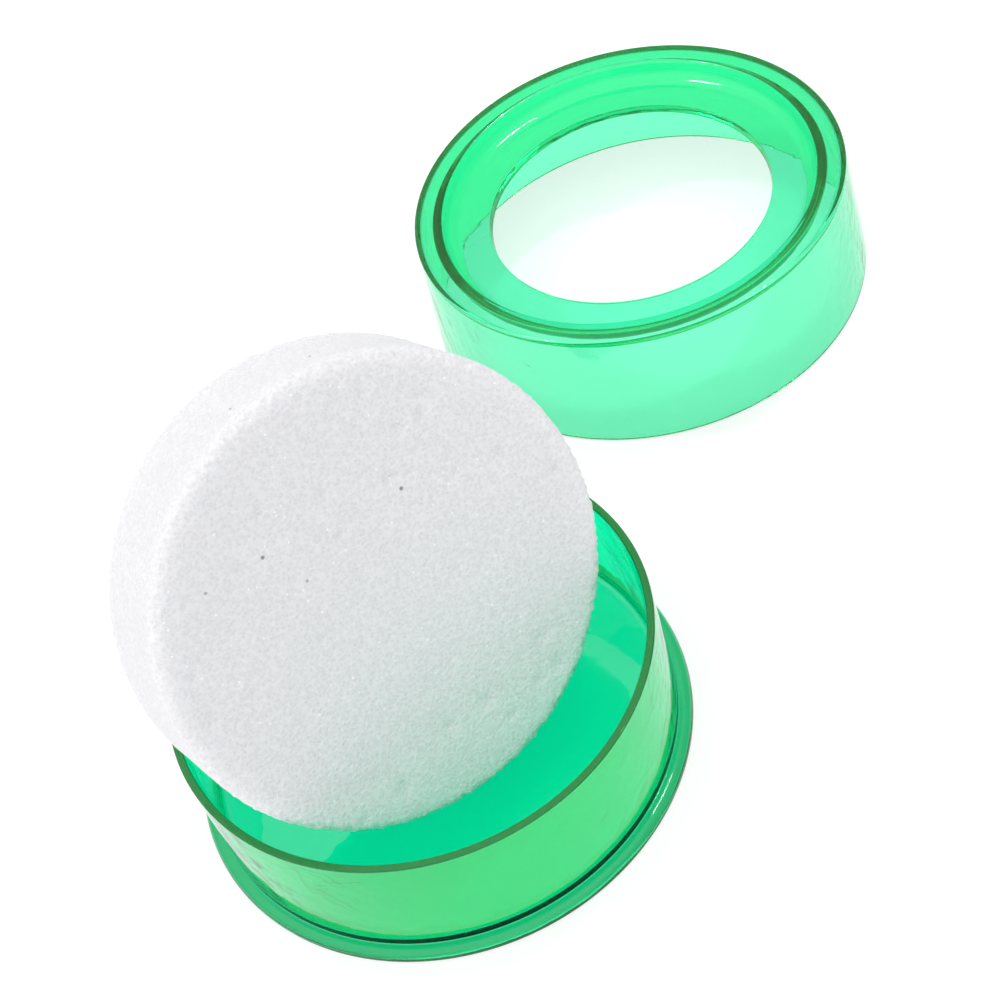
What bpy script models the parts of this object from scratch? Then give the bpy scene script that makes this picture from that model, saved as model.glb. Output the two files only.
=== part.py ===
"""Round sponge moistening pot: a shallow clear cup with a foot flange, a foam disc that holds the
water, and a loose ring-shaped lid whose top sinks in a bowl to a wide hole.

Frame: metres, +Z up, origin at the centre of the cup's underside.  The cup stands open, the foam
disc stands on edge in it, leaning back, and the lid stands beside it on the same surface.
"""
import math

import bmesh
import bpy
from mathutils import Matrix, Vector

# ---- driving dimensions (metres, degrees) -------------------------------------------------------
FOOT_RADIUS = 0.0425
FOOT_HEIGHT = 0.0018
FOOT_EDGE_ROUND = 0.0015
FOOT_UNDER_ROUND = 0.0002

CUP_RADIUS = 0.0403
CUP_HEIGHT = 0.0243
CUP_WALL = 0.0013
CUP_FLOOR = 0.0018
CUP_CORNER_ROUND = 0.0012
CUP_RIM_ROUND = 0.0003

LID_BOTTOM_RADIUS = 0.0427
LID_TOP_RADIUS = 0.0414
LID_HEIGHT = 0.0247
LID_WALL = 0.0010
LID_DECK = 0.0012
LID_EDGE_ROUND = 0.0005
LID_HOLE_RADIUS = 0.0273
LID_HOLE_TOP = 0.0208
LID_HOLE_LIP = 0.0016
LID_HOLE_TAPER = 0.0003
BOWL_EDGE_RADIUS = 0.0362
BOWL_DRAFT = 0.0010
BOWL_FLOOR = 0.0210
BOWL_TURN = 0.0028
BOWL_WALL = 0.0016
LID_PLACE = Vector((0.0740, 0.0806, 0.0))

FOAM_RADIUS = 0.0379
FOAM_THICKNESS = 0.0200
FOAM_EDGE_ROUND = 0.0016
FOAM_LEAN = 23.2
FOAM_FACING = -71.1
FOAM_FLOOR_GAP = 0.0003
FOAM_OFFSET = Vector((-0.0019, 0.0031, 0.0))

ROUND_SEGMENTS = 96
FOAM_SEGMENTS = 64
CORNER_STEPS = 4


# ---- helpers ------------------------------------------------------------------------------------
def clear_scene():
    """Remove every object that is already in the scene."""
    for thing in list(bpy.data.objects):
        bpy.data.objects.remove(thing, do_unlink=True)


def plastic(name, colour, roughness, transmission=0.0):
    """A Principled material in one colour."""
    material = bpy.data.materials.new(name)
    material.use_nodes = True
    shader = material.node_tree.nodes["Principled BSDF"]
    shader.inputs["Base Color"].default_value = (*colour, 1.0)
    shader.inputs["Roughness"].default_value = roughness
    shader.inputs["Metallic"].default_value = 0.0
    shader.inputs["Transmission Weight"].default_value = transmission
    material.diffuse_color = (*colour, 1.0)
    return material


def rounded(points, closed):
    """Round the corners of an (r, z) outline.

    Each point is (r, z) or (r, z, corner radius).  A rounded corner becomes an arc that is tangent
    to both of its sides.
    """
    outline = []
    count = len(points)
    for index, point in enumerate(points):
        corner = Vector(point[:2])
        radius = point[2] if len(point) > 2 else 0.0
        end_point = not closed and index in (0, count - 1)
        if radius == 0.0 or end_point:
            outline.append(corner)
            continue
        before = (Vector(points[index - 1][:2]) - corner).normalized()
        after = (Vector(points[(index + 1) % count][:2]) - corner).normalized()
        half_angle = before.angle(after) / 2
        centre = corner + (before + after).normalized() * radius / math.sin(half_angle)
        start = corner + before * radius / math.tan(half_angle) - centre
        end = corner + after * radius / math.tan(half_angle) - centre
        sweep = start.angle_signed(end)
        for step in range(CORNER_STEPS + 1):
            turn = Matrix.Rotation(-sweep * step / CORNER_STEPS, 2)
            outline.append(centre + turn @ start)
    return outline


def turned(name, outline, closed, segments, material):
    """Spin an (r, z) outline about the Z axis into one smooth closed solid."""
    mesh = bmesh.new()
    verts = [mesh.verts.new((point[0], 0.0, point[1])) for point in outline]
    edges = [mesh.edges.new(pair) for pair in zip(verts, verts[1:])]
    if closed:
        edges.append(mesh.edges.new((verts[-1], verts[0])))
    bmesh.ops.spin(
        mesh, geom=verts + edges, cent=(0, 0, 0), axis=(0, 0, 1),
        angle=2 * math.pi, steps=segments, use_duplicate=False)
    bmesh.ops.remove_doubles(mesh, verts=mesh.verts, dist=1e-6)
    bmesh.ops.recalc_face_normals(mesh, faces=mesh.faces)
    data = bpy.data.meshes.new(name)
    mesh.to_mesh(data)
    mesh.free()
    data.shade_smooth()
    data.set_sharp_from_angle(angle=math.radians(35))
    data.materials.append(material)
    thing = bpy.data.objects.new(name, data)
    bpy.context.collection.objects.link(thing)
    return thing


# ---- sub-parts ----------------------------------------------------------------------------------
def make_cup(material):
    """The cup and its foot flange, moulded in one."""
    inside = CUP_RADIUS - CUP_WALL
    outline = rounded([
        (0.0, 0.0),
        (FOOT_RADIUS, 0.0, FOOT_UNDER_ROUND),
        (FOOT_RADIUS, FOOT_HEIGHT, FOOT_EDGE_ROUND),
        (CUP_RADIUS, FOOT_HEIGHT),
        (CUP_RADIUS, CUP_HEIGHT, CUP_RIM_ROUND),
        (inside, CUP_HEIGHT, CUP_RIM_ROUND),
        (inside, CUP_FLOOR, CUP_CORNER_ROUND),
        (0.0, CUP_FLOOR),
    ], closed=False)
    return turned("base_cup", outline, False, ROUND_SEGMENTS, material)


def make_lid(material):
    """The ring lid: a flared skirt, a flat deck, and a bowl whose steep side turns in to the hole."""
    deck_under = LID_HEIGHT - LID_DECK
    bowl_under = BOWL_FLOOR - LID_HOLE_LIP
    bowl_outside = BOWL_EDGE_RADIUS + BOWL_WALL
    outline = rounded([
        (LID_BOTTOM_RADIUS, 0.0, LID_WALL * 0.3),
        (LID_TOP_RADIUS, LID_HEIGHT, LID_EDGE_ROUND),
        (BOWL_EDGE_RADIUS, LID_HEIGHT, LID_EDGE_ROUND * 0.5),
        (BOWL_EDGE_RADIUS - BOWL_DRAFT, BOWL_FLOOR, BOWL_TURN),
        (LID_HOLE_RADIUS, LID_HOLE_TOP),
        (LID_HOLE_RADIUS - LID_HOLE_TAPER, LID_HOLE_TOP - LID_HOLE_LIP),
        (bowl_outside - BOWL_DRAFT, bowl_under, BOWL_TURN),
        (bowl_outside, deck_under, LID_EDGE_ROUND * 0.5),
        (LID_TOP_RADIUS - LID_WALL, deck_under, LID_EDGE_ROUND),
        (LID_BOTTOM_RADIUS - LID_WALL, 0.0, LID_WALL * 0.3),
    ], closed=True)
    lid = turned("lid", outline, True, ROUND_SEGMENTS, material)
    lid.location = LID_PLACE
    return lid


def make_foam(material):
    """The foam disc, standing on its lower edge on the cup's floor and leaning back."""
    half = FOAM_THICKNESS / 2
    outline = rounded([
        (0.0, -half),
        (FOAM_RADIUS, -half, FOAM_EDGE_ROUND),
        (FOAM_RADIUS, half, FOAM_EDGE_ROUND),
        (0.0, half),
    ], closed=False)
    foam = turned("foam_disc", outline, False, FOAM_SEGMENTS, material)
    tilt = math.radians(90 - FOAM_LEAN)
    foam.rotation_euler = (0.0, tilt, math.radians(FOAM_FACING))
    core_radius = FOAM_RADIUS - FOAM_EDGE_ROUND
    core_half = half - FOAM_EDGE_ROUND
    reach = core_radius * math.sin(tilt) + core_half * math.cos(tilt) + FOAM_EDGE_ROUND
    foam.location = FOAM_OFFSET + Vector((0, 0, CUP_FLOOR + FOAM_FLOOR_GAP + reach))
    return foam


def build():
    clear_scene()
    clear_green = plastic("clear_green_plastic", (0.05, 0.75, 0.30), 0.08, transmission=0.9)
    white_foam = plastic("white_foam", (0.86, 0.85, 0.87), 0.95)
    make_cup(clear_green)
    make_lid(clear_green)
    make_foam(white_foam)


build()
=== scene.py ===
"""Looks for the round sponge moistening pot: clear green plastic, fine white foam, soft light."""
import math

import bmesh
import bpy
import numpy as np
from mathutils import Matrix, Vector, noise


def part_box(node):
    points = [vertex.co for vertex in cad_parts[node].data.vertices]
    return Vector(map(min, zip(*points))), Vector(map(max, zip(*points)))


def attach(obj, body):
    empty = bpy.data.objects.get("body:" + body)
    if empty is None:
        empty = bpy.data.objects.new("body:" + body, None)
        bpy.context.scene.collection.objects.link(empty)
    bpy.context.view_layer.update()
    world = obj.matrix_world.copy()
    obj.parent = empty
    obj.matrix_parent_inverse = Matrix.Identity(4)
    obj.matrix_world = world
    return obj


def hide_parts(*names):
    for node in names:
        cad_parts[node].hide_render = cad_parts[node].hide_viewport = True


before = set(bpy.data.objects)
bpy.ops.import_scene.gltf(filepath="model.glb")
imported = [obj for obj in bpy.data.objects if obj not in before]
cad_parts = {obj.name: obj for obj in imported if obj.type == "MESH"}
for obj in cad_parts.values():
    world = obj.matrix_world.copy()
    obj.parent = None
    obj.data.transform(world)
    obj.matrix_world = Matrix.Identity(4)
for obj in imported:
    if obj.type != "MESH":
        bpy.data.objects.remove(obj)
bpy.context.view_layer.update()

MM = 0.001
FULL_TURN = 2 * math.pi

# ---- the view: places in metres, roll in degrees ------------------------------------------------
CAMERA_PLACE = Vector((0.0, -207.3, 276.8)) * MM
CAMERA_AIM = Vector((27.1, 42.6, 0.0)) * MM
CAMERA_ROLL = 19.9
CAMERA_LENS = 73.0
CAMERA_SENSOR = 36.0

# ---- the plastic pieces' profiles, in millimetres, as the CAD has them --------------------------
FOOT_RADIUS = 42.5
FOOT_HEIGHT = 1.8
FOOT_TOP_ROUND = 1.5
FOOT_UNDER_ROUND = 0.15
CUP_RADIUS = 40.3
CUP_HEIGHT = 24.3
CUP_WALL = 1.3
CUP_FLOOR = 1.8
CUP_EDGE_ROUND = 0.25
CUP_INNER_ROUND = 1.2
LID_BOTTOM_RADIUS = 42.7
LID_TOP_RADIUS = 41.4
LID_HEIGHT = 24.7
LID_WALL = 1.0
LID_DECK = 1.2
LID_HOLE_RADIUS = 27.3
LID_HOLE_TOP = 20.8
LID_HOLE_TAPER = 0.3
LID_HOLE_ROUND = 0.15
LID_LIP = 1.6
LID_TOP_ROUND = 0.6
LID_UNDER_ROUND = 0.5
LID_SMALL_ROUND = 0.3
BOWL_EDGE = 36.2
BOWL_EDGE_ROUND = 0.8
BOWL_DRAFT = 1.0
BOWL_FLOOR = 21.0
BOWL_TURN = 2.8
BOWL_WALL = 1.6

ROUND_SEGMENTS = 256
ARC_STEPS = 10
SHADING_EDGE = 0.06
SHARP_ANGLE = 30
WELD_DISTANCE = 1e-6

# ---- the plastics: tint at the faces, colour and strength inside, gloss -------------------------
CUP_PLASTIC = {"tint": (0.008, 0.98, 0.54), "transmit": (0.0, 0.95, 0.90), "density": 900.0, "gloss": 0.10}
# The foot is the cup's plastic with a darker tint: painted shade for the deep green of its thick, edge-on
# flange.
FOOT_SHADED_PLASTIC = {"tint": (0.003, 0.48, 0.13), "transmit": (0.0, 0.95, 0.90), "density": 350.0, "gloss": 0.02}
LID_PLASTIC = {"tint": (0.32, 0.97, 0.61), "transmit": (0.0, 0.93, 0.84), "density": 560.0, "gloss": 0.8}
PLASTIC_IOR = 1.50
HANDLING_SCALE = 60.0
SMOOTHEST = 0.02
DULLEST = 0.12
RIPPLE_SCALE = 130.0
RIPPLE_STRENGTH = 0.30
RIPPLE_HEIGHT = 0.0004
SCRATCH_SCALE = 130.0
SCRATCH_WIDTH = 0.015
SCRATCH_BEND = 0.006
SCRATCH_BEND_SCALE = 150.0
SCRATCH_STRENGTH = 0.3
SCRATCH_DEPTH = 0.00003
RUBBED_SCALE = 55.0
RUBBED_FROM = 0.60
RUBBED_FULLY = 0.66

# ---- the foam disc's shape: millimetres and degrees ---------------------------------------------
FOAM_RADIUS = 37.7
FOAM_THICKNESS = 19.7
FOAM_EDGE = 1.8
FOAM_LEAN = 23.2
FOAM_FACING = -71.1
FOAM_STEP = 0.42
FOAM_SIDE_STEP = 0.5
FOAM_EDGE_STEPS = 8
FOAM_PROUD = 0.3
FOAM_DENTS = 60
DENT_SIZES = (0.5, 1.3)
DENT_DEPTHS = (0.2, 0.45)
DENT_REACH = 2.5
CELL = 0.62
CELL_DEPTH = 0.12
SLOW_WAVE = 0.08
SLOW_WAVE_SIZE = 11.0
QUICK_WAVE = 0.03
QUICK_WAVE_SIZE = 3.4
CRUMB_SIZE = 0.75
CRUMB = 0.05
CRUMB_AT_EDGE = 0.45

# ---- the foam's surface -------------------------------------------------------------------------
FOAM_STRUT = (0.82, 0.815, 0.84, 1.0)
# Painted shade: the cells' hollows are coloured darker than the struts.
FOAM_HOLLOW_SHADE = (0.74, 0.735, 0.76, 1.0)
FOAM_SHADE = (0.77, 0.76, 0.79, 1.0)
# Painted shade: a few pores are coloured dark for the shade inside them.
FOAM_PORE_SHADE = (0.30, 0.30, 0.33, 1.0)
# Painted highlight: bright spots that stand in for light glinting off cell films.
FOAM_PAINTED_GLINT = (0.97, 0.97, 0.97, 1.0)
FINER_CELLS = 0.55
CLOUD_SCALE = 90.0
PORES = {"size": 4.6, "reach": 0.09, "share": 0.10}
# Where the painted glints fall on the foam.
PAINTED_GLINT_SPOTS = {"size": 1.15, "reach": 0.20, "share": 0.16}
FOAM_GLOW_THROUGH = 0.8
FOAM_GLOW_DEPTH = 0.004
FOAM_BUMP = 0.9
FOAM_BUMP_DEPTH = 0.00025

# ---- the light: strengths, directions from the object, angles in degrees, sizes in metres -------
ROOM_LIGHT = 0.52
SOFT_LIGHT = 1.46
SOFT_LIGHT_WAY = (-0.34, -0.22, 0.90)
SOFT_LIGHT_OUTER = 80.0
SOFT_LIGHT_INNER = 30.0
STRIP_WAYS = {"strip_right": (0.36, 0.18, 0.92), "strip_left": (-0.40, 0.22, 0.88)}
STRIP_SIZE = (0.055, 0.20)
STRIP_POWER = 0.022
STRIP_SPREAD = 14.0
TABLE_GLOW = 0.62
TABLE_COLOUR = (0.42, 0.42, 0.42, 1.0)
TABLE_HALF_SIZE = 3.0
TABLE_GAP = 0.0002


# ---- materials ----------------------------------------------------------------------------------
class Paint:
    """A new material, with the few kinds of node that the surfaces here are made of."""

    def __init__(self, name):
        self.material = bpy.data.materials.new(name)
        self.material.use_nodes = True
        self.nodes = self.material.node_tree.nodes
        self.links = self.material.node_tree.links
        self.shader = self.nodes["Principled BSDF"]
        self.place = self.nodes.new("ShaderNodeTexCoord").outputs["Object"]

    def fill(self, **values):
        """Give shader sockets one value all over; an underscore stands for a space."""
        for name, value in values.items():
            self.shader.inputs[name.replace("_", " ")].default_value = value

    def drive(self, name, source):
        self.links.new(source, self.shader.inputs[name])

    def noise(self, scale, detail=2.0, roughness=0.5):
        texture = self.nodes.new("ShaderNodeTexNoise")
        texture.inputs["Scale"].default_value = scale
        texture.inputs["Detail"].default_value = detail
        texture.inputs["Roughness"].default_value = roughness
        self.links.new(self.place, texture.inputs["Vector"])
        return texture

    def cells(self, scale, feature="F1", place=None):
        texture = self.nodes.new("ShaderNodeTexVoronoi")
        texture.feature = feature
        texture.inputs["Scale"].default_value = scale
        self.links.new(self.place if place is None else place, texture.inputs["Vector"])
        return texture

    def ramp(self, source, low, high, out_low=0.0, out_high=1.0):
        span = self.nodes.new("ShaderNodeMapRange")
        span.inputs["From Min"].default_value = low
        span.inputs["From Max"].default_value = high
        span.inputs["To Min"].default_value = out_low
        span.inputs["To Max"].default_value = out_high
        self.links.new(source, span.inputs["Value"])
        return span.outputs["Result"]

    def combine(self, operation, first, second):
        """Arithmetic on an output and either another output or a plain number."""
        result = self.nodes.new("ShaderNodeMath")
        result.operation = operation
        self.links.new(first, result.inputs[0])
        if isinstance(second, float):
            result.inputs[1].default_value = second
        else:
            self.links.new(second, result.inputs[1])
        return result.outputs["Value"]

    def blend(self, amount, under, over):
        """Mix two colours; the mix node's colour sockets are its inputs 6 and 7 and its output 2."""
        mix = self.nodes.new("ShaderNodeMix")
        mix.data_type = "RGBA"
        self.links.new(amount, mix.inputs["Factor"])
        if isinstance(under, tuple):
            mix.inputs[6].default_value = under
        else:
            self.links.new(under, mix.inputs[6])
        mix.inputs[7].default_value = over
        return mix.outputs[2]

    def bump(self, height, strength, distance, under=None):
        relief = self.nodes.new("ShaderNodeBump")
        relief.inputs["Strength"].default_value = strength
        relief.inputs["Distance"].default_value = distance
        self.links.new(height, relief.inputs["Height"])
        if under is not None:
            self.links.new(under, relief.inputs["Normal"])
        return relief.outputs["Normal"]


def scratches(paint):
    """A surface height with thin curved hairlines where the plastic has been rubbed."""
    bend = paint.nodes.new("ShaderNodeVectorMath")
    bend.operation = "MULTIPLY_ADD"
    bend.inputs[1].default_value = (SCRATCH_BEND, SCRATCH_BEND, SCRATCH_BEND)
    paint.links.new(paint.noise(SCRATCH_BEND_SCALE).outputs["Color"], bend.inputs[0])
    paint.links.new(paint.place, bend.inputs[2])
    hairs = paint.cells(SCRATCH_SCALE, "DISTANCE_TO_EDGE", bend.outputs["Vector"])
    beside_hair = paint.ramp(hairs.outputs["Distance"], 0.0, SCRATCH_WIDTH)
    spared = paint.ramp(paint.noise(RUBBED_SCALE).outputs["Fac"], RUBBED_FULLY, RUBBED_FROM)
    return paint.combine("MAXIMUM", beside_hair, spared)


def clear_plastic(name, tint, transmit, density, gloss):
    """Clear green moulded plastic: tinted at its faces, deeper through its thickness, lightly scuffed."""
    paint = Paint(name)
    paint.fill(Base_Color=(*tint, 1.0), Transmission_Weight=1.0, IOR=PLASTIC_IOR, Specular_IOR_Level=gloss)
    volume = paint.nodes.new("ShaderNodeVolumeAbsorption")
    volume.inputs["Color"].default_value = (*transmit, 1.0)
    volume.inputs["Density"].default_value = density
    paint.links.new(volume.outputs["Volume"], paint.nodes["Material Output"].inputs["Volume"])
    handling = paint.noise(HANDLING_SCALE, 6.0, 0.7)
    paint.drive("Roughness", paint.ramp(handling.outputs["Fac"], 0.45, 0.75, SMOOTHEST, DULLEST))
    ripple = paint.bump(paint.noise(RIPPLE_SCALE).outputs["Fac"], RIPPLE_STRENGTH, RIPPLE_HEIGHT)
    paint.drive("Normal", paint.bump(scratches(paint), SCRATCH_STRENGTH, SCRATCH_DEPTH, ripple))
    return paint.material


def spots(paint, size, reach, share):
    """A round spot in a share of the cells: 1 at its middle, 0 past its reach."""
    pattern = paint.cells(1 / (size * MM))
    split = paint.nodes.new("ShaderNodeSeparateColor")
    paint.links.new(pattern.outputs["Color"], split.inputs["Color"])
    near = paint.ramp(pattern.outputs["Distance"], reach, reach * 0.5)
    return paint.combine("MULTIPLY", near, paint.combine("LESS_THAN", split.outputs["Red"], share))


def open_cell_foam(name):
    """White open-cell foam: fine torn cells with painted shade in their hollows, bright spots that are
    painted glints on the cell films, a few pores painted dark as shade, soft inside light.
    """
    paint = Paint(name)
    fine = paint.cells(1 / (CELL * MM)).outputs["Distance"]
    finer = paint.cells(1 / (CELL * FINER_CELLS * MM)).outputs["Distance"]
    cloud = paint.noise(CLOUD_SCALE, 4.0).outputs["Fac"]
    # Painted shade: darker colour towards each cell's hollow middle.
    colour = paint.blend(paint.ramp(fine, 0.15, 0.75), FOAM_HOLLOW_SHADE, FOAM_STRUT)
    colour = paint.blend(paint.ramp(cloud, 0.35, 0.75, 0.0, 0.25), colour, FOAM_SHADE)
    # Painted shade in a few pores.
    colour = paint.blend(spots(paint, **PORES), colour, FOAM_PORE_SHADE)
    # Painted glints: bright spots for light catching the cell films.
    colour = paint.blend(spots(paint, **PAINTED_GLINT_SPOTS), colour, FOAM_PAINTED_GLINT)
    paint.drive("Base Color", colour)
    paint.fill(Roughness=0.75, Specular_IOR_Level=0.25, Subsurface_Weight=FOAM_GLOW_THROUGH,
               Subsurface_Radius=(1.0, 1.0, 1.0), Subsurface_Scale=FOAM_GLOW_DEPTH)
    rough = paint.combine("ADD", fine, paint.ramp(finer, 0.0, 1.0, 0.0, 0.5))
    paint.drive("Normal", paint.bump(rough, FOAM_BUMP, FOAM_BUMP_DEPTH))
    return paint.material


def pale_table(name):
    """A matt table top that glows a little, like a light table."""
    paint = Paint(name)
    paint.fill(Base_Color=TABLE_COLOUR, Roughness=0.6, Emission_Color=(1.0, 1.0, 1.0, 1.0),
               Emission_Strength=TABLE_GLOW)
    return paint.material


# ---- turned pieces ------------------------------------------------------------------------------
def rounded(points, closed):
    """Outline points with round corners, and a point just off each arc so that flats shade flat."""
    outline = []
    count = len(points)
    for index, point in enumerate(points):
        corner = Vector(point[:2])
        radius = point[2] if len(point) > 2 else 0.0
        if radius == 0.0 or (not closed and index in (0, count - 1)):
            outline.append(corner)
            continue
        before = (Vector(points[index - 1][:2]) - corner).normalized()
        after = (Vector(points[(index + 1) % count][:2]) - corner).normalized()
        half_angle = before.angle(after) / 2
        centre = corner + (before + after).normalized() * radius / math.sin(half_angle)
        setback = radius / math.tan(half_angle)
        start = corner + before * setback - centre
        sweep = start.angle_signed(corner + after * setback - centre)
        turns = [-sweep * step / ARC_STEPS for step in range(ARC_STEPS + 1)]
        arc = [centre + Matrix.Rotation(turn, 2) @ start for turn in turns]
        outline += [arc[0] + before * SHADING_EDGE, *arc, arc[-1] + after * SHADING_EDGE]
    return outline


def turned(name, outline, closed, material, centre=(0.0, 0.0)):
    """A piece turned from an outline of (distance from the axis, height) points in millimetres."""
    mesh = bmesh.new()
    verts = [mesh.verts.new((point[0] * MM, 0.0, point[1] * MM)) for point in outline]
    edges = [mesh.edges.new(pair) for pair in zip(verts, verts[1:])]
    if closed:
        edges.append(mesh.edges.new((verts[-1], verts[0])))
    bmesh.ops.spin(mesh, geom=verts + edges, cent=(0, 0, 0), axis=(0, 0, 1),
                   angle=FULL_TURN, steps=ROUND_SEGMENTS, use_duplicate=False)
    bmesh.ops.remove_doubles(mesh, verts=mesh.verts, dist=WELD_DISTANCE)
    bmesh.ops.recalc_face_normals(mesh, faces=mesh.faces)
    bmesh.ops.translate(mesh, verts=mesh.verts, vec=(*centre, 0.0))
    data = bpy.data.meshes.new(name)
    mesh.to_mesh(data)
    mesh.free()
    data.shade_smooth()
    data.set_sharp_from_angle(angle=math.radians(SHARP_ANGLE))
    data.materials.append(material)
    return placed(name, data)


def placed(name, data):
    thing = bpy.data.objects.new(name, data)
    bpy.context.collection.objects.link(thing)
    return thing


def make_cup(material, foot_shaded_material):
    """The pot: thin wall, flat floor, and a solid rolled foot in a darker copy of the same plastic, painted
    shade for the deep green of its thick edge.
    """
    inside = CUP_RADIUS - CUP_WALL
    outline = rounded([
        (0.0, 0.0), (FOOT_RADIUS, 0.0, FOOT_UNDER_ROUND), (FOOT_RADIUS, FOOT_HEIGHT, FOOT_TOP_ROUND),
        (CUP_RADIUS, FOOT_HEIGHT, CUP_EDGE_ROUND), (CUP_RADIUS, CUP_HEIGHT, CUP_EDGE_ROUND),
        (inside, CUP_HEIGHT, CUP_EDGE_ROUND), (inside, CUP_FLOOR, CUP_INNER_ROUND),
        (0.0, CUP_FLOOR)], closed=False)
    cup = turned("cup", outline, False, material)
    cup.data.materials.append(foot_shaded_material)
    foot_from = (CUP_RADIUS + 0.1) * MM
    foot_up_to = FOOT_HEIGHT * 1.1 * MM
    # The foot's faces take the darker copy of the plastic, which is the painted shade.
    for face in cup.data.polygons:
        if face.center.xy.length > foot_from and face.center.z < foot_up_to:
            face.material_index = 1
    return cup


def make_lid(material, centre):
    """The skirted ring: a flat deck and a bowl whose steep side turns in to the hole."""
    deck_under = LID_HEIGHT - LID_DECK
    bowl_outside = BOWL_EDGE + BOWL_WALL
    outline = rounded([
        (LID_BOTTOM_RADIUS, 0.0, LID_SMALL_ROUND), (LID_TOP_RADIUS, LID_HEIGHT, LID_TOP_ROUND),
        (BOWL_EDGE, LID_HEIGHT, BOWL_EDGE_ROUND), (BOWL_EDGE - BOWL_DRAFT, BOWL_FLOOR, BOWL_TURN),
        (LID_HOLE_RADIUS, LID_HOLE_TOP, LID_HOLE_ROUND),
        (LID_HOLE_RADIUS - LID_HOLE_TAPER, LID_HOLE_TOP - LID_LIP, LID_HOLE_ROUND),
        (bowl_outside - BOWL_DRAFT, BOWL_FLOOR - LID_LIP, BOWL_TURN),
        (bowl_outside, deck_under, LID_SMALL_ROUND),
        (LID_TOP_RADIUS - LID_WALL, deck_under, LID_UNDER_ROUND),
        (LID_BOTTOM_RADIUS - LID_WALL, 0.0, LID_SMALL_ROUND)], closed=True)
    return turned("lid_ring", outline, True, material, centre)


# ---- the foam -----------------------------------------------------------------------------------
def foam_profile():
    """Points (distance from the axis, height) from the middle of the front to the middle of the back."""
    half = FOAM_THICKNESS / 2
    flat = FOAM_RADIUS - FOAM_EDGE
    flat_steps = round(flat / FOAM_STEP)
    across = [(i * flat / flat_steps, half) for i in range(flat_steps)]
    turn = [math.radians(90 * i / FOAM_EDGE_STEPS) for i in range(FOAM_EDGE_STEPS + 1)]
    corner = [(flat + FOAM_EDGE * math.sin(t), half - FOAM_EDGE * (1 - math.cos(t))) for t in turn]
    front = across + corner
    side_length = 2 * (half - FOAM_EDGE)
    side_steps = round(side_length / FOAM_SIDE_STEP)
    side = [(FOAM_RADIUS, half - FOAM_EDGE - side_length * i / side_steps) for i in range(1, side_steps)]
    return front + side + [(radius, -height) for radius, height in reversed(front)]


def stitch(mesh, inner, inner_start, outer, outer_start):
    """Triangles between two rings of unlike counts, stepping along whichever ring is behind."""
    if len(inner) == 1 or len(outer) == 1:
        hub, ring = (inner[0], outer) if len(inner) == 1 else (outer[0], inner)
        for first, second in zip(ring, ring[1:] + ring[:1]):
            mesh.faces.new((hub, first, second))
        return
    shift = round((inner_start - outer_start) / FULL_TURN * len(outer))
    outer = [outer[(i + shift) % len(outer)] for i in range(len(outer))]
    outer_start += FULL_TURN * shift / len(outer)
    i = 0
    j = 0
    while i < len(inner) or j < len(outer):
        next_inner = inner_start + FULL_TURN * (i + 1) / len(inner)
        next_outer = outer_start + FULL_TURN * (j + 1) / len(outer)
        here, across = inner[i % len(inner)], outer[j % len(outer)]
        if j >= len(outer) or (i < len(inner) and next_inner <= next_outer):
            mesh.faces.new((here, across, inner[(i + 1) % len(inner)]))
            i += 1
        else:
            mesh.faces.new((here, across, outer[(j + 1) % len(outer)]))
            j += 1


def foam_rings(draw):
    """The smooth disc as a mesh of rings, each started at its own angle so that no rows line up."""
    mesh = bmesh.new()
    rings = []
    for radius, height in foam_profile():
        count = max(1, round(FULL_TURN * radius / FOAM_STEP))
        start = draw.uniform(0, FULL_TURN)
        turns = [start + FULL_TURN * i / count for i in range(count)]
        ring = [mesh.verts.new((radius * math.cos(t), radius * math.sin(t), height)) for t in turns]
        rings.append((ring, start))
    for (inner, inner_start), (outer, outer_start) in zip(rings, rings[1:]):
        stitch(mesh, inner, inner_start, outer, outer_start)
    mesh.normal_update()
    bmesh.ops.recalc_face_normals(mesh, faces=mesh.faces)
    mesh.normal_update()
    return mesh


def foam_dents(draw):
    """Small dents scattered over both faces, as (middle, size, depth)."""
    dents = []
    for turn, side in zip(draw.uniform(0, FULL_TURN, FOAM_DENTS), [1, -1] * FOAM_DENTS):
        x = FOAM_RADIUS * math.sqrt(draw.uniform()) * math.cos(turn)
        y = FOAM_RADIUS * math.sqrt(draw.uniform()) * math.sin(turn)
        middle = Vector((x, y, side * FOAM_THICKNESS / 2))
        dents.append((middle, draw.uniform(*DENT_SIZES), draw.uniform(*DENT_DEPTHS)))
    return dents


def foam_relief(point):
    """How far the cut surface stands proud of the true shape: slow waves, torn cells and crumbs."""
    past_side = math.hypot(point.x, point.y) - FOAM_RADIUS
    past_face = abs(point.z) - FOAM_THICKNESS / 2
    rim = min(past_side, past_face) + FOAM_EDGE
    near_edge = min(1.0, max(0.0, rim / (FOAM_EDGE * 0.5)))
    waves = SLOW_WAVE * noise.noise(point / SLOW_WAVE_SIZE)
    waves += QUICK_WAVE * noise.noise(point / QUICK_WAVE_SIZE + Vector((7, 0, 0)))
    cell = noise.voronoi(point / CELL)[0]
    pit = max(0.0, cell[1] - cell[0] - 0.1)
    crumbs = noise.noise(point / CRUMB_SIZE) * (CRUMB + CRUMB_AT_EDGE * near_edge)
    return waves + CELL_DEPTH * (0.35 - pit) + crumbs


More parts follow.
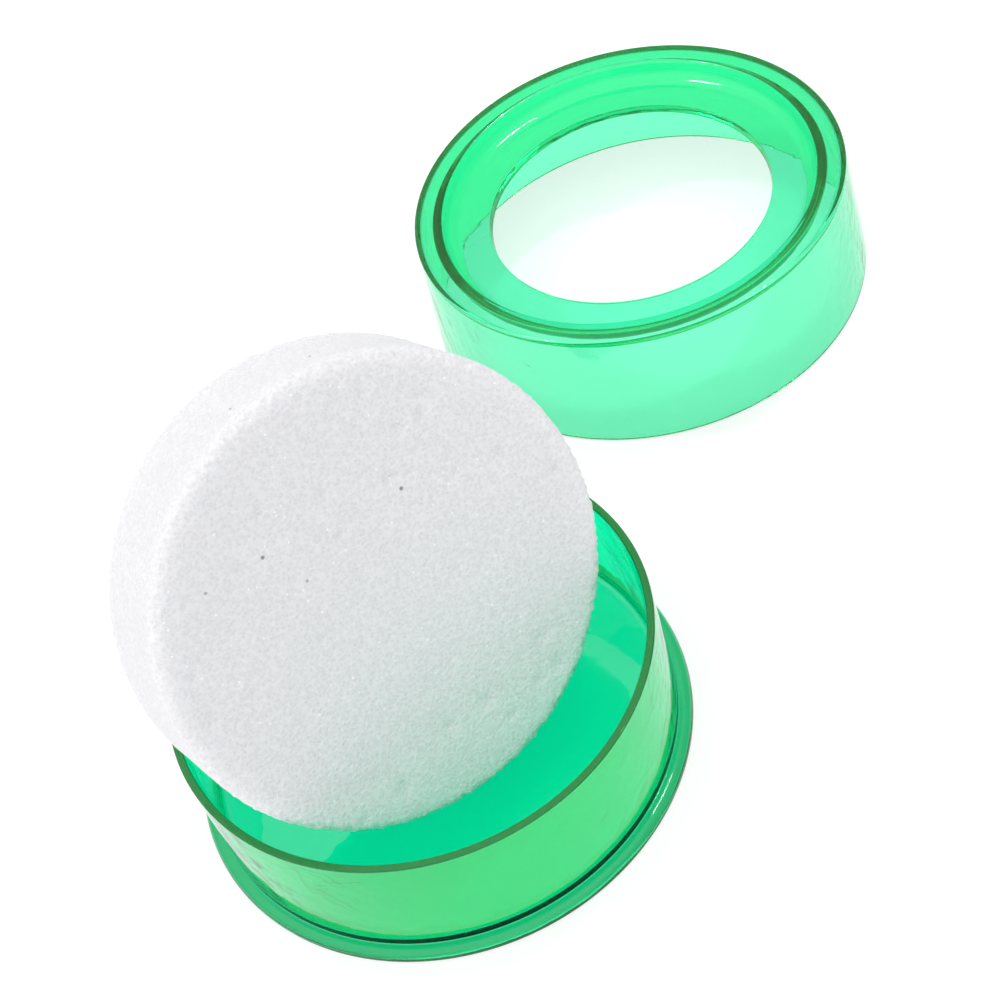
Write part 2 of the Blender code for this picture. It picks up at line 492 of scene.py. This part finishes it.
def make_foam(material):
    """A die-cut disc of open-cell foam, roughened cell by cell and stood leaning in the cup."""
    draw = np.random.default_rng(11)
    mesh = foam_rings(draw)
    dents = foam_dents(draw)
    moves = []
    for vert in mesh.verts:
        rise = foam_relief(vert.co)
        for middle, size, depth in dents:
            gap = (vert.co - middle).length / size
            if gap < DENT_REACH:
                rise -= depth * math.exp(-gap * gap)
        moves.append(vert.normal * min(rise, FOAM_PROUD))
    for vert, move in zip(mesh.verts, moves):
        vert.co += move
    data = bpy.data.meshes.new("foam")
    mesh.to_mesh(data)
    mesh.free()
    stood = Matrix.Rotation(math.radians(90) - math.radians(FOAM_LEAN), 4, "Y")
    faced = Matrix.Rotation(math.radians(FOAM_FACING), 4, "Z")
    data.transform(Matrix.Translation(box_middle("foam_disc")) @ faced @ stood @ Matrix.Scale(MM, 4))
    data.shade_smooth()
    data.materials.append(material)
    return placed("foam", data)


def box_middle(node):
    low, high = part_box(node)
    return (Vector(low) + Vector(high)) / 2


# ---- the studio ---------------------------------------------------------------------------------
def make_camera():
    data = bpy.data.cameras.new("camera")
    data.lens = CAMERA_LENS
    data.sensor_width = CAMERA_SENSOR
    camera = placed("camera", data)
    forward = (CAMERA_AIM - CAMERA_PLACE).normalized()
    level = forward.cross(Vector((0, 0, 1))).normalized()
    upward = level.cross(forward)
    angle = math.radians(-CAMERA_ROLL)
    right = level * math.cos(angle) + upward * math.sin(angle)
    up = right.cross(forward)
    turn = Matrix((right, up, -forward)).transposed().to_4x4()
    camera.matrix_world = Matrix.Translation(CAMERA_PLACE) @ turn
    bpy.context.scene.camera = camera


def make_floor():
    mesh = bpy.data.meshes.new("floor")
    corners = [(x * TABLE_HALF_SIZE, y * TABLE_HALF_SIZE, 0) for x, y in [(-1, -1), (1, -1), (1, 1), (-1, 1)]]
    mesh.from_pydata(corners, [], [(0, 1, 2, 3)])
    mesh.materials.append(pale_table("pale_floor"))
    floor = placed("floor", mesh)
    floor.location.z = -TABLE_GAP


def make_sky():
    """A dim room with one broad soft light above and in front of the object."""
    world = bpy.data.worlds.new("studio")
    world.use_nodes = True
    nodes, links = world.node_tree.nodes, world.node_tree.links
    nodes["Background"].inputs["Color"].default_value = (1.0, 1.0, 1.0, 1.0)
    place = nodes.new("ShaderNodeTexCoord")
    facing = nodes.new("ShaderNodeVectorMath")
    facing.operation = "DOT_PRODUCT"
    facing.inputs[1].default_value = Vector(SOFT_LIGHT_WAY).normalized()
    spread = nodes.new("ShaderNodeMapRange")
    spread.interpolation_type = "SMOOTHSTEP"
    spread.inputs["From Min"].default_value = math.cos(math.radians(SOFT_LIGHT_OUTER))
    spread.inputs["From Max"].default_value = math.cos(math.radians(SOFT_LIGHT_INNER))
    spread.inputs["To Min"].default_value = ROOM_LIGHT
    spread.inputs["To Max"].default_value = SOFT_LIGHT
    links.new(place.outputs["Generated"], facing.inputs[0])
    links.new(facing.outputs["Value"], spread.inputs["Value"])
    links.new(spread.outputs["Result"], nodes["Background"].inputs["Strength"])
    bpy.context.scene.world = world


def make_strips(target):
    """Two narrow strip lights that give the glints in the lid's bowl."""
    for name, way in STRIP_WAYS.items():
        data = bpy.data.lights.new(name, "AREA")
        data.shape = "RECTANGLE"
        data.size, data.size_y = STRIP_SIZE
        data.energy = STRIP_POWER
        data.spread = math.radians(STRIP_SPREAD)
        light = placed(name, data)
        light.location = target + Vector(way)
        light.rotation_euler = (-Vector(way)).to_track_quat("-Z", "Y").to_euler()


def set_tone_and_bounces():
    """Plain tones, and enough bounces for light to get through several walls of plastic."""
    view = bpy.context.scene.view_settings
    view.view_transform = "Standard"
    view.look = "None"
    cycles = bpy.context.scene.cycles
    cycles.max_bounces = 32
    cycles.transmission_bounces = 32
    cycles.glossy_bounces = 24
    cycles.diffuse_bounces = 6


lid_middle = box_middle("lid")
cup = make_cup(clear_plastic("cup_clear_green", **CUP_PLASTIC),
               clear_plastic("foot_painted_shade_green", **FOOT_SHADED_PLASTIC))
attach(cup, "cup")
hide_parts("base_cup")
lid = make_lid(clear_plastic("lid_clear_green", **LID_PLASTIC), (lid_middle.x, lid_middle.y))
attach(lid, "lid_body")
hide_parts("lid")
foam = make_foam(open_cell_foam("white_foam"))
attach(foam, "foam")
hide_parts("foam_disc")
make_floor()
make_sky()
make_strips(Vector((lid_middle.x, lid_middle.y, LID_HEIGHT * MM)))
set_tone_and_bounces()
make_camera()
